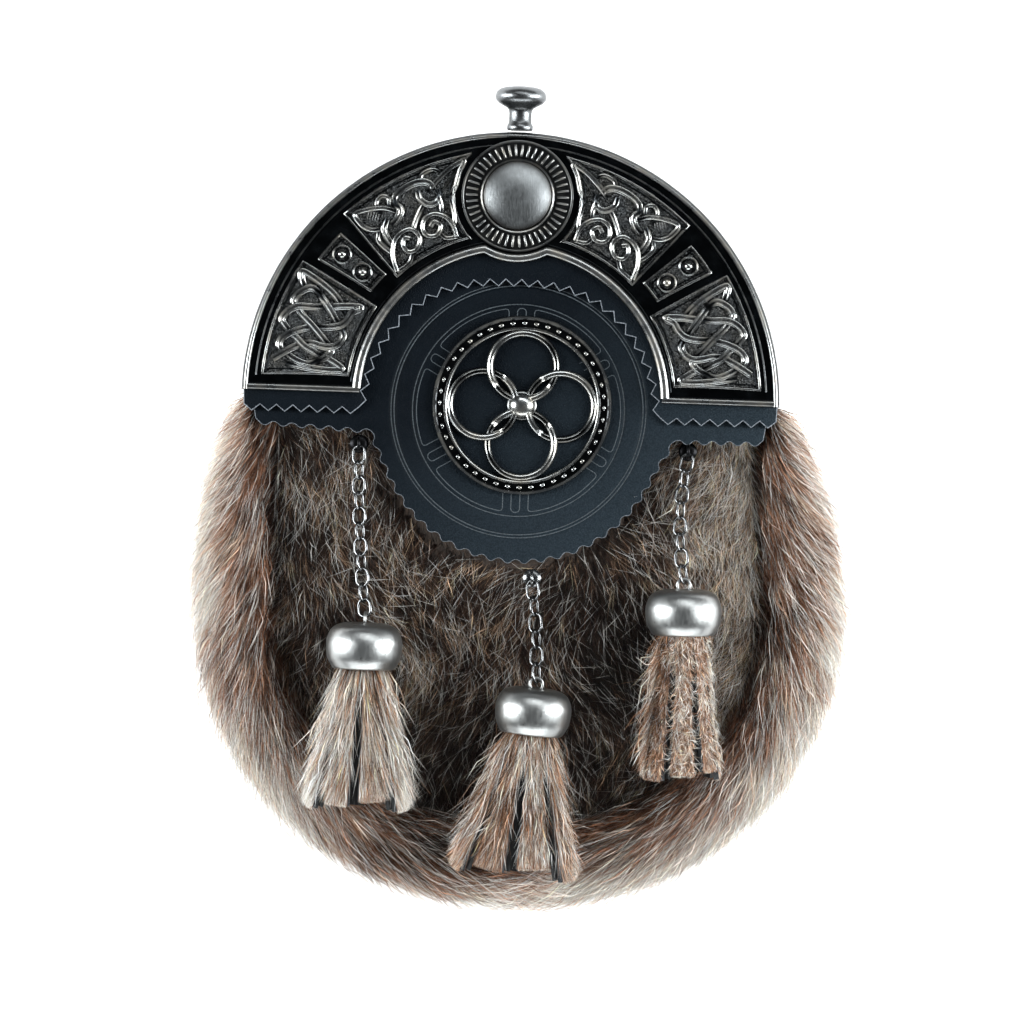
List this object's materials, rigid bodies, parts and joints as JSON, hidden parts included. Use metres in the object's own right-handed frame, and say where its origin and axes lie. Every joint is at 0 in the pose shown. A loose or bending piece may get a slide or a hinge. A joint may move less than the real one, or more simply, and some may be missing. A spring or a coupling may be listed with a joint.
{
  "type": "sporran pouch",
  "caption": "Fur-covered kilt pouch under an arched metal cantle, with a leather flap, a pierced badge and chain tassels; lies flat on its back, mouth behind.",
  "frame": {"origin": "under the middle of the bounding box, on the surface that the pouch lies on", "axes": "+X to the wearer's left as seen from the front, +Y up the pouch towards its knob, +Z out of its front"},
  "size_m": [0.177, 0.2244, 0.0568],
  "materials": {
    "fur": "brown fur with pale tips",
    "leather": "smooth blue-black leather",
    "dark_metal": "blackened cast metal, polished on its high places",
    "pewter": "satin pewter with dark recesses",
    "chain_metal": "bright steel wire"
  },
  "bodies": {
    "root": {"gusset_pelt": "fur", "front_pelt": "fur", "back_panel": "leather", "belt_loop_left": "leather", "belt_loop_right": "leather", "arch_gusset": "leather", "flap": "leather", "gasket": "leather", "cantle": "dark_metal", "targe": "pewter", "knob": "pewter", "badge": "pewter", "hanger_left": "dark_metal", "hanger_centre": "dark_metal", "hanger_right": "dark_metal", "chain_left": "chain_metal", "chain_centre": "chain_metal", "chain_right": "chain_metal", "bell_left": "pewter", "bell_centre": "pewter", "bell_right": "pewter", "tassel_left": "fur", "tassel_centre": "fur", "tassel_right": "fur"}
  },
  "joints": []
}
